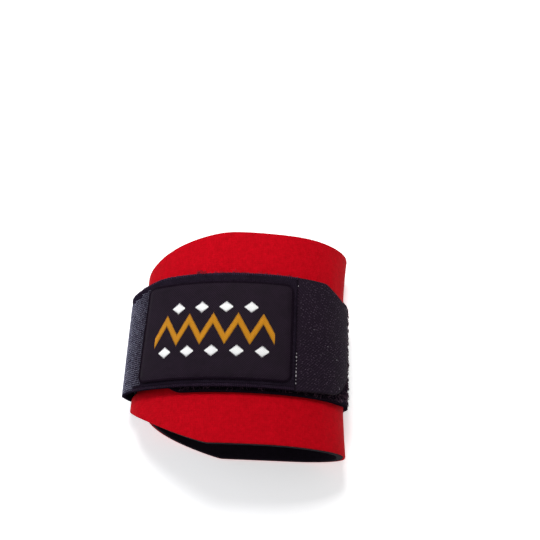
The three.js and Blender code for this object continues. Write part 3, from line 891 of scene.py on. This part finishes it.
section = add_node(
    pile_tree, "GeometryNodeCurvePrimitiveCircle", {"Resolution": 3, "Radius": given["Yarn"]}
)[0]
loop = add_node(
    pile_tree, "GeometryNodeCurveToMesh", {"Curve": upright, "Profile Curve": section, "Fill Caps": True}
)[0]
loops = planted(pile_tree, spread["Points"], loop, turn_by(pile_tree, lean), size)
close_tree(pile_tree, loops, given, result)


def flat_patches(name, patches, height):
    """Flat rectangles on the strap, as one mesh: along from and to, and across from near to far."""
    points, faces = [], []
    for patch in patches:
        start = len(points)
        for x in (patch["from"], patch["to"]):
            points += [(x, patch["near"], height), (x, patch["far"], height)]
        faces.append((start, start + 2, start + 3, start + 1))
    return mesh_piece(name, points, faces=faces)


OFF_THE_FLOOR = 0.0075
PILE_MARGIN = 0.0008
PILE_UNDER_TAB = 0.003
PILE_PAST_SEAM = 0.004
PILE_BEFORE_TIP = 0.03
STRIP_FAR_SIDE = -0.0205
pile_near, pile_far = STRAP_SEWN["near"] + PILE_MARGIN, STRAP_SEWN["far"] - PILE_MARGIN
level_start = strap_place(LOOP_PLACES[np.argmax(LOOP[:, 0] > LEVEL_FROM)] - OFF_THE_FLOOR)
right_start = strap_place(LEVEL_ENDS_AT + OFF_THE_FLOOR)
tab_end = strap_place(TAB_START - TAB_LENGTH)
strip_end = strap_place(LOOP_LENGTH - PILE_BEFORE_TIP)
right_near = STRAP_AT_RIGHT["near"] + PILE_MARGIN / 2
PILE_PATCHES = (
    {"from": right_start, "to": tab_end + PILE_UNDER_TAB, "near": right_near, "far": pile_far},
    {"from": sewn_start + PILE_PAST_SEAM, "to": level_start, "near": pile_near, "far": pile_far},
    {"from": tab_end, "to": strip_end, "near": pile_near, "far": STRIP_FAR_SIDE},
)
FUZZ = {"from_left": 0.03, "near": 0.0225, "far": 0.0233}
FUZZ_TUFTS = {"from_left": (0.0345, 0.048), "length": 0.0042, "reach": 0.0013}
fuzz_start = top_run_place(LOOP_LENGTH - FUZZ["from_left"])
fuzz_patches = [{"from": fuzz_start, "to": strap_length, "near": FUZZ["near"], "far": FUZZ["far"]}]
for place in FUZZ_TUFTS["from_left"]:
    start = top_run_place(LOOP_LENGTH - place)
    end, far = start + FUZZ_TUFTS["length"], STRAP_WIDTH / 2 + FUZZ_TUFTS["reach"]
    fuzz_patches.append({"from": start, "to": end, "near": FUZZ["near"], "far": far})
pile_black, tree, shader = new_material(
    "pile nylon", roughness=0.75, specular_ior_level=0.05, sheen_weight=0.01, sheen_roughness=0.4
)
spots = grouped(tree, mottle, cloud=0.003, grain=0.0003)
tree.links.new(mixed(tree, spots, (0.023, 0.012, 0.0195, 1), (0.116, 0.059, 0.094, 1)), shader["Base Color"])
loop_pile = run_tree(
    flat_patches("loop_pile", PILE_PATCHES, pile_side), pile_tree, path=strap_path, material=pile_black,
    density=1.9e6, loop=0.00048, yarn=0.00006, tuft=0.0013, seed=11,
)
edge_fuzz = run_tree(
    flat_patches("edge_fuzz", fuzz_patches, twill_side), pile_tree, path=strap_path, material=pile_black,
    density=6e6, loop=0.0004, yarn=0.00003, tuft=0.0025, seed=12,
)
for piece in (loop_pile, edge_fuzz):
    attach(piece, "root")

# Twill floats
# On the tape's back the warp floats over the weft in slanting dashes. They are black on the margins
# that the label leaves free, and carry a painted bluish grey highlight where the tape is drawn round the
# ring.

LABEL_FROM_CREST = 0.0163
LABEL_SIDES = {"near": {"y": -0.0197, "from_left": 0.0143}, "far": {"y": 0.0186, "from_left": 0.0155}}
LABEL_WIDTH = LABEL_SIDES["far"]["y"] - LABEL_SIDES["near"]["y"]
LABEL_MIDDLE = (LABEL_SIDES["far"]["y"] + LABEL_SIDES["near"]["y"]) / 2
label_ends = {name: top_run_place(LOOP_LENGTH - side["from_left"]) for name, side in LABEL_SIDES.items()}
label_left = (label_ends["near"] + label_ends["far"]) / 2
label_right = top_run_place(CREST - LABEL_FROM_CREST)


def label_slant(y):
    """How far the label's slanting left end lies past its middle, across the strap."""
    return (label_ends["far"] - label_ends["near"]) * (y - LABEL_MIDDLE) / LABEL_WIDTH


UNDER_LABEL = 0.0004


def left_of_label(x, y):
    """Whether a place on the tape is left of the label, or just under its left end."""
    return x < label_left + label_slant(y) + UNDER_LABEL


float_tree, given, result = bent_tree("Twill floats", "Float Length", "Yarn", "Lean")
order = add_node(float_tree, "GeometryNodeInputIndex", {})[0]
sign = calc(float_tree, "MULTIPLY_ADD", calc(float_tree, "FLOORED_MODULO", order, 2.0), 2.0, -1.0)
jitter = random_between(float_tree, -0.12, 0.12, given["Seed"])
angle = calc(float_tree, "MULTIPLY_ADD", sign, given["Lean"], jitter)
turned = turn_by(float_tree, vector(float_tree, 0, 0, angle))
size = random_between(float_tree, 0.75, 1.1, given["Seed"])
flattened = calc(float_tree, "MULTIPLY", given["Yarn"], 0.7)
shape = vector(float_tree, given["Float Length"], given["Yarn"], flattened)
floats = planted(float_tree, given["Geometry"], thread_round(float_tree, 6, 5, shape), turned, size)
close_tree(float_tree, floats, given, result)

FLOAT_PITCH = 0.00085
FLOAT_COLUMNS = 27
FLOATS_PAST_FOLD = 0.0008
FLOATS_BEFORE_TAB = 0.0006
FLOAT_INSETS = {"fold": {"near": 0.0003, "far": 0.0036}, "top run": {"near": 0.0019, "far": 0.0026}}
fold_start = strap_place(FOLD_AT + FLOATS_PAST_FOLD)
float_places = np.arange(fold_start, strap_length - FLOATS_BEFORE_TAB, FLOAT_PITCH)
float_columns = np.arange(-FLOAT_COLUMNS, FLOAT_COLUMNS + 1) * FLOAT_PITCH
float_rows = []
for number, x in enumerate(float_places):
    y = float_columns[number % 2 :]
    inset = FLOAT_INSETS["fold" if x < cord_starts["near"] else "top run"]
    shown = (y > strap_at(x, "near") + inset["near"]) & (y < strap_at(x, "far") - inset["far"])
    beside_label = np.abs(y - LABEL_MIDDLE) > LABEL_WIDTH / 2 - UNDER_LABEL
    shown &= left_of_label(x, y) | beside_label | (x > label_right - UNDER_LABEL)
    float_rows.append(np.column_stack([x + 0 * y, y, twill_side + 0 * y])[shown])
float_rows = np.concatenate(float_rows)


def floats_at(name, rows, **inputs):
    """Piece of twill floats at flat places on the tape."""
    return run_tree(mesh_piece(name, rows.tolist()), float_tree, path=strap_path, **inputs)


# Painted highlight: the fold's floats pale to bluish grey towards the bend's leftmost point, a painted
# reflection of the lamp at the left. The margin floats keep the yarn's own dark colour.
bend_starts, bend_ends = strap_at(label_left, "x"), STRAP_LINE[:, STRAP_COLUMNS["x"]].min()
fold_highlight_yarn = thread_material(
    "fold highlight yarn", (0.06, 0.056, 0.085, 1), (0.02, 0.018, 0.028, 1),
    painted_highlight={"from": bend_starts, "to": bend_ends, "light": (0.46, 0.47, 0.64, 1)},
    roughness=0.5, specular_ior_level=0.15,
)
twill_yarn = thread_material(
    "twill yarn", (0.023, 0.0126, 0.026, 1), (0.008, 0.0044, 0.0096, 1),
    roughness=0.7, specular_ior_level=0.04,
)
at_fold = left_of_label(float_rows[:, 0], float_rows[:, 1])
FLOAT = {"float_length": 0.00105, "yarn": 0.00034, "lean": 0.75, "seed": 21}
fold_floats = floats_at("fold_floats", float_rows[at_fold], **FLOAT, material=fold_highlight_yarn)
margin_floats = floats_at("margin_floats", float_rows[~at_fold], **FLOAT, material=twill_yarn)
for piece in (fold_floats, margin_floats):
    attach(piece, "root")

# Label
# A satin-woven panel with rounded corners, sewn on the strap's top run by a black overlock edging
# round its border. It carries a plain zigzag and rows of diamonds in satin stitch, gold and white.

LABEL_THICKNESS = 0.0007
LABEL_CORNER = 0.0025
LABEL_CORNER_POINTS = 7
DRAWN_DOWN = {"depth": 0.0003, "within": (0.0004, 0.0016)}
EDGING = {"past_border": 0.0002, "sunk": 0.00035}
label_top = twill_side - LAYER_GAP
label_face = label_top - LABEL_THICKNESS


def label_inset(places):
    """How far the label's rounded corners draw its sides in."""
    return corner_inset(np.minimum(places - label_left, label_right - places), LABEL_CORNER)


def label_lean(x, y):
    """How far the label's slanting left end moves a place on it along the strap."""
    return label_slant(y) * (label_right - x) / (label_right - label_left)


def label_fall(x, y):
    """How far the label's face is drawn down towards its border by the edging."""
    from_end = np.minimum(x - label_left, label_right - x)
    from_side = LABEL_WIDTH / 2 - np.abs(y - LABEL_MIDDLE)
    return DRAWN_DOWN["depth"] * (1 - ease(np.minimum(from_end, from_side), *DRAWN_DOWN["within"]))


label_along = graded(label_left, label_right, step=0.0006, margin=LABEL_CORNER)
label_half = LABEL_WIDTH / 2 - label_inset(label_along)
LABEL_LIGHT = (0.035, 0.0198, 0.0372, 1)
LABEL_DARK = (0.0045, 0.002, 0.005, 1)
label_satin = woven_material(
    "label satin", LABEL_LIGHT, LABEL_DARK, ridge=0.0009, band=0.05, depth=0.00006,
    specular_ior_level=0.08, sheen_weight=0.02, sheen_roughness=0.4,
)
woven_label = flat_sheet(
    "woven_label", label_along, LABEL_MIDDLE - label_half, LABEL_MIDDLE + label_half,
    step=0.0006, edge=0.0003,
    outside=lambda x, y: label_top + 0 * x,
    inside=lambda x, y: label_face + label_fall(x, y),
    lean=label_lean,
)
run_tree(woven_label, bent_sheet, path=strap_path, material=label_satin)


def border_line(inset):
    """Flat closed line along the label's border."""
    half = ((label_right - label_left) / 2 - inset, LABEL_WIDTH / 2 - inset)
    border = rounded_rectangle(half, LABEL_CORNER - inset, LABEL_CORNER_POINTS)
    x, y = (border + ((label_left + label_right) / 2, LABEL_MIDDLE)).T
    line = np.column_stack([x + label_lean(x, y), y, label_face + EDGING["sunk"] + 0 * x])
    return np.concatenate([line, line[:1]])


# The black overlock edging is sewn in the darker thread, painted shade for the groove round the label.
label_seam = sewn(
    "label_seam", [border_line(-EDGING["past_border"])], pitch=0.0005, stitch_length=0.0013,
    thread=0.00055, turn=math.pi / 2, uneven=0.12, seed=7, material=shaded_thread,
)

# Satin stitch: threads side by side, whose middles and lengths rise and fall in straight waves
satin_tree, given, result = bent_tree(
    "Satin stitch", "Start", "Length", "Pitch", "Middle", "Height", "Wave", "Swing",
    "Shortest", "Longest", "Thread",
)
count = calc(satin_tree, "DIVIDE", given["Length"], given["Pitch"])
row = add_node(
    satin_tree, "GeometryNodeMeshLine",
    {"Count": add_node(satin_tree, "FunctionNodeFloatToInt", {0: count})[0],
     "Start Location": vector(satin_tree, given["Start"], given["Middle"], given["Height"]),
     "Offset": vector(satin_tree, given["Pitch"], 0, 0)},
)[0]
here = add_node(satin_tree, "GeometryNodeInputPosition", {})[0]
along = add_node(satin_tree, "ShaderNodeSeparateXYZ", {0: here})["X"]
along = calc(satin_tree, "SUBTRACT", along, given["Start"])
half_wave = calc(satin_tree, "MULTIPLY", given["Wave"], 0.5)
wave = calc(satin_tree, "DIVIDE", calc(satin_tree, "PINGPONG", along, half_wave), half_wave)
swing = calc(satin_tree, "MULTIPLY", calc(satin_tree, "MULTIPLY_ADD", wave, 2.0, -1.0), given["Swing"])
growth = calc(satin_tree, "SUBTRACT", given["Longest"], given["Shortest"])
length = calc(satin_tree, "MULTIPLY_ADD", wave, growth, given["Shortest"])
jitter = random_between(satin_tree, 0.97, 1.03, given["Seed"])
length = calc(satin_tree, "MULTIPLY", length, jitter)
shown = add_node(
    satin_tree, "FunctionNodeCompare", {0: length, 1: 0.0006}, data_type="FLOAT", operation="GREATER_THAN"
)[0]
ball = add_node(satin_tree, "GeometryNodeMeshUVSphere", {"Segments": 8, "Rings": 7, "Radius": 0.5})[0]
offset = vector(satin_tree, 0, swing, 0)
row = add_node(satin_tree, "GeometryNodeSetPosition", {"Geometry": row, "Offset": offset})[0]
threads = add_node(
    satin_tree, "GeometryNodeInstanceOnPoints",
    {"Points": row, "Selection": shown, "Instance": ball,
     "Scale": vector(satin_tree, given["Thread"], length, given["Thread"])},
)[0]
close_tree(satin_tree, threads, given, result)

gold_thread = thread_material(
    "gold thread", (0.62, 0.27, 0.008, 1), (0.42, 0.17, 0.005, 1), roughness=0.45, specular_ior_level=0.12
)
white_thread = thread_material(
    "white thread", (0.95, 0.95, 0.94, 1), (0.8, 0.8, 0.79, 1), roughness=0.5, specular_ior_level=0.2
)
MOTIF_TEETH = 5
MOTIF_MARGIN = 0.006
MOTIF_SUNK = 0.00004
ZIGZAG_SWING = 0.0042
ZIGZAG_STROKE = 0.0052
DIAMOND = {"width": 0.0056, "height": 0.0052, "from_middle": 0.0088}
motif_start, motif_length = label_left + MOTIF_MARGIN, label_right - label_left - 2 * MOTIF_MARGIN
tooth = motif_length / MOTIF_TEETH
satin = {"path": strap_path, "pitch": 0.00034, "thread": 0.00042, "height": label_face + MOTIF_SUNK}


def satin_piece(name, **inputs):
    return run_tree(mesh_piece(name, []), satin_tree, **satin, **inputs)


zigzag = satin_piece(
    "zigzag", start=motif_start, length=motif_length, middle=LABEL_MIDDLE, wave=tooth, swing=ZIGZAG_SWING,
    shortest=ZIGZAG_STROKE, longest=ZIGZAG_STROKE, seed=31, material=gold_thread,
)
DIAMOND_ROWS = (
    {"side": "near", "across": -DIAMOND["from_middle"], "count": MOTIF_TEETH, "first": 0.5},
    {"side": "far", "across": DIAMOND["from_middle"], "count": MOTIF_TEETH - 1, "first": 1.0},
)
diamonds = []
for row in DIAMOND_ROWS:
    for number in range(row["count"]):
        middle = motif_start + tooth * (number + row["first"])
        diamonds.append(satin_piece(
            f"diamond_{row['side']}_{number + 1}", start=middle - DIAMOND["width"] / 2,
            length=DIAMOND["width"], middle=LABEL_MIDDLE + row["across"], wave=DIAMOND["width"], swing=0.0,
            shortest=0.0, longest=DIAMOND["height"], seed=41 + number, material=white_thread,
        ))
for piece in (woven_label, label_seam, zigzag, *diamonds):
    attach(piece, "root")
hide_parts("label")

# Hook tab
# The strap's end is a tab of hook tape, hooks down, pressed on the pile of the sewn run. Its near
# corner is rounded and its far one cut off. A black seam joins it to the strap, and the undyed lower
# thread shows in the seam's near third and at its far end.

TAB_NEAR_NARROWING = 0.0015
TAB_NEAR_CORNER = {"length": 0.0095, "width": 0.011, "power": 1.7}
TAB_FAR_CUT = {"length": 0.0135, "width": 0.0075}
TAB_GAP = 0.00003
TAB_HOOK_SIDE = 0.0005
TAB_ROWS = {"straight": 20, "corner": 24}
tab_from, tab_to = strap_length + TAB_GAP, top_run_place(TAB_START - TAB_LENGTH)
tab_along = np.concatenate([
    np.linspace(tab_from, tab_to - TAB_NEAR_CORNER["length"], TAB_ROWS["straight"])[:-1],
    tab_to - TAB_NEAR_CORNER["length"] * np.cos(np.linspace(0, np.pi / 2, TAB_ROWS["corner"])),
])
tab_left = tab_to - tab_along
into_corner = np.clip(1 - tab_left / TAB_NEAR_CORNER["length"], 0, 1) ** TAB_NEAR_CORNER["power"]
tab_near = -STRAP_WIDTH / 2 + TAB_NEAR_NARROWING * (1 - tab_left / TAB_LENGTH)
tab_near = tab_near + TAB_NEAR_CORNER["width"] * (1 - (1 - into_corner) ** (1 / TAB_NEAR_CORNER["power"]))
tab_far = STRAP_WIDTH / 2 - TAB_FAR_CUT["width"] * np.clip(1 - tab_left / TAB_FAR_CUT["length"], 0, 1)
HOOK_LIGHT = (0.025, 0.0134, 0.0285, 1)
HOOK_DARK = (0.0075, 0.0035, 0.0085, 1)
# The tab's sides and hook face are painted in shade.
hook_tape = woven_material(
    "hook tape", HOOK_LIGHT, HOOK_DARK, ridge=0.0013, band=0.06, depth=0.0002, specks=0.06, painted_shade_from=-0.0007,
    specular_ior_level=0.08, sheen_weight=0.02, sheen_roughness=0.4,
)
hook_tab = flat_sheet(
    "hook_tape_tab", tab_along, tab_near, tab_far, step=0.0007, edge=0.0005,
    outside=lambda x, y: TAB_HOOK_SIDE + 0 * x,
    inside=lambda x, y: twill_side + 0 * x,
)
run_tree(hook_tab, bent_sheet, path=strap_path, material=hook_tape)


LATTICE = {"reach": 0.05, "steadiness": 6, "share": 0.72, "seed": 23}
TAB_CLEAR = {"seam": 0.0015, "end": 0.0008, "side": 0.001}


def tab_lattice(along, across, angle):
    """Places in slanting rows on the tab, clear of its edges, with a share of them shown."""
    steps = (np.arange(-LATTICE["reach"], LATTICE["reach"], step) for step in (along, across))
    u, v = np.meshgrid(*steps)
    x = (tab_from + tab_to) / 2 + u * np.cos(angle) - v * np.sin(angle)
    y = u * np.sin(angle) + v * np.cos(angle)
    uneven = np.random.default_rng(LATTICE["seed"])
    x = x + uneven.normal(0, along / LATTICE["steadiness"], x.shape)
    y = y + uneven.normal(0, across / LATTICE["steadiness"], y.shape)
    shown = uneven.random(x.shape) < LATTICE["share"]
    shown &= (x > tab_from + TAB_CLEAR["seam"]) & (x < tab_to - TAB_CLEAR["end"])
    shown &= y > np.interp(x, tab_along, tab_near) + TAB_CLEAR["side"]
    shown &= y < np.interp(x, tab_along, tab_far) - TAB_CLEAR["side"]
    return np.column_stack([x[shown], y[shown], np.full(np.count_nonzero(shown), twill_side)])


hook_yarn = thread_material(
    "hook yarn", (0.085, 0.06, 0.09, 1), (0.016, 0.009, 0.017, 1), roughness=0.6, specular_ior_level=0.12
)
tab_floats = floats_at(
    "tab_floats", tab_lattice(along=0.00105, across=0.0012, angle=-0.35), float_length=0.00075, yarn=0.0003,
    lean=0.3, seed=23, material=hook_yarn,
)


SEAM_POINTS = 40
SEAM_ON_TAB = {"inset": 0.0003, "proud": 0.00005}


def seam_across(start, end):
    """Flat line across the strap, where the tab is joined to it."""
    y = np.linspace(start, end, SEAM_POINTS)
    x, z = tab_from + SEAM_ON_TAB["inset"], twill_side - SEAM_ON_TAB["proud"]
    return np.column_stack([x + 0 * y, y, z + 0 * y])


undyed_thread = thread_material(
    "undyed thread", (0.46, 0.43, 0.46, 1), (0.2, 0.18, 0.2, 1), roughness=0.6, specular_ior_level=0.2
)
SEAM = {"pitch": 0.00137, "stitch_length": 0.00105, "turn": 0.0, "seed": 9}
SHOWS_NEAR = (-0.0202, -0.0085)
SHOWS_FAR = (0.0192, 0.0201)
tab_seam = sewn(
    "tab_seam", [seam_across(SHOWS_NEAR[1] + SEAM["pitch"], SHOWS_FAR[0] - SEAM["pitch"])], **SEAM,
    thread=0.0004, uneven=0.2, material=black_thread,
)
shown_stitches = sewn(
    "shown_stitches", [seam_across(*SHOWS_NEAR), seam_across(*SHOWS_FAR)], **SEAM,
    thread=0.00052, uneven=0.45, material=undyed_thread,
)
for piece in (hook_tab, tab_floats, tab_seam, shown_stitches):
    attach(piece, "root")
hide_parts("hook_tab")
bpy.data.objects.remove(strap_path)

# Floor, light and camera
# The support lies on a plain pale floor under a small soft lamp above and behind it, with a weak one
# in front and a bluish one at the left. The camera looks down on it from the front.

FLOOR_SIZE = 60.0
half = FLOOR_SIZE / 2
floor_corners = [(-half, -half, 0), (half, -half, 0), (half, half, 0), (-half, half, 0)]
floor = mesh_piece("floor", floor_corners, faces=[(0, 1, 2, 3)])
pale, tree, shader = new_material(
    "pale floor", roughness=0.9, specular_ior_level=0.1, emission_color=(1, 1, 1, 1), emission_strength=0.45
)
spots = grouped(tree, mottle, cloud=0.3, grain=0.02)
tree.links.new(mixed(tree, spots, (0.93, 0.93, 0.93, 1), (0.96, 0.96, 0.96, 1)), shader["Base Color"])
floor.data.materials.append(pale)

LIGHTS = (
    {"name": "overhead", "place": (-0.05, 0.22, 0.5), "aim": (0.0, 0.055, 0.04), "size": 0.15,
     "watts": 0.275, "spread": 65, "colour": (1, 1, 1)},
    {"name": "front", "place": (0.3, -0.9, 0.8), "aim": (0.0, 0.0, 0.0), "size": 0.9,
     "watts": 0.3, "spread": 180, "colour": (1, 1, 1)},
    {"name": "left", "place": (-0.9, 0.15, 0.3), "aim": (0.0, 0.0, 0.0), "size": 0.6,
     "watts": 2.7, "spread": 180, "colour": (0.8, 0.83, 1.0)},
)
for row in LIGHTS:
    lamp = bpy.data.lights.new(row["name"], "AREA")
    lamp.size = row["size"]
    lamp.energy = row["watts"]
    lamp.color = row["colour"]
    lamp.spread = math.radians(row["spread"])
    light = new_piece(row["name"], lamp)
    light.location = row["place"]
    light.rotation_euler = (Vector(row["aim"]) - Vector(row["place"])).to_track_quat("-Z", "Y").to_euler()
SKY_STRENGTH = 0.38
world = bpy.data.worlds.new("studio")
world.use_nodes = True
sky = world.node_tree.nodes["Background"]
sky.inputs["Color"].default_value = (1, 1, 1, 1)
sky.inputs["Strength"].default_value = SKY_STRENGTH
bpy.context.scene.world = world
bpy.context.scene.view_settings.view_transform = "Standard"

CAMERA_ELEVATION = math.radians(67.44)
CAMERA_ROLL = math.radians(2.44)
CAMERA_DISTANCE = 0.312
CAMERA_TARGET = Vector((0, 0, 0.02))
TARGET_IN_VIEW = {"right": -0.0275, "down": 0.1043}
eye = bpy.data.cameras.new("camera")
eye.lens = 50
eye.sensor_width = 36
eye.clip_start = 0.01
camera = new_piece("camera", eye)
turn = Matrix.Rotation(math.pi / 2 - CAMERA_ELEVATION, 4, "X")
right, up, back = (turn.to_3x3() @ Vector(axis) for axis in ((1, 0, 0), (0, 1, 0), (0, 0, 1)))
aim = back - right * TARGET_IN_VIEW["right"] + up * TARGET_IN_VIEW["down"]
camera.matrix_world = (
    Matrix.Translation(CAMERA_TARGET + CAMERA_DISTANCE * aim) @ turn @ Matrix.Rotation(CAMERA_ROLL, 4, "Z")
)
bpy.context.scene.camera = camera
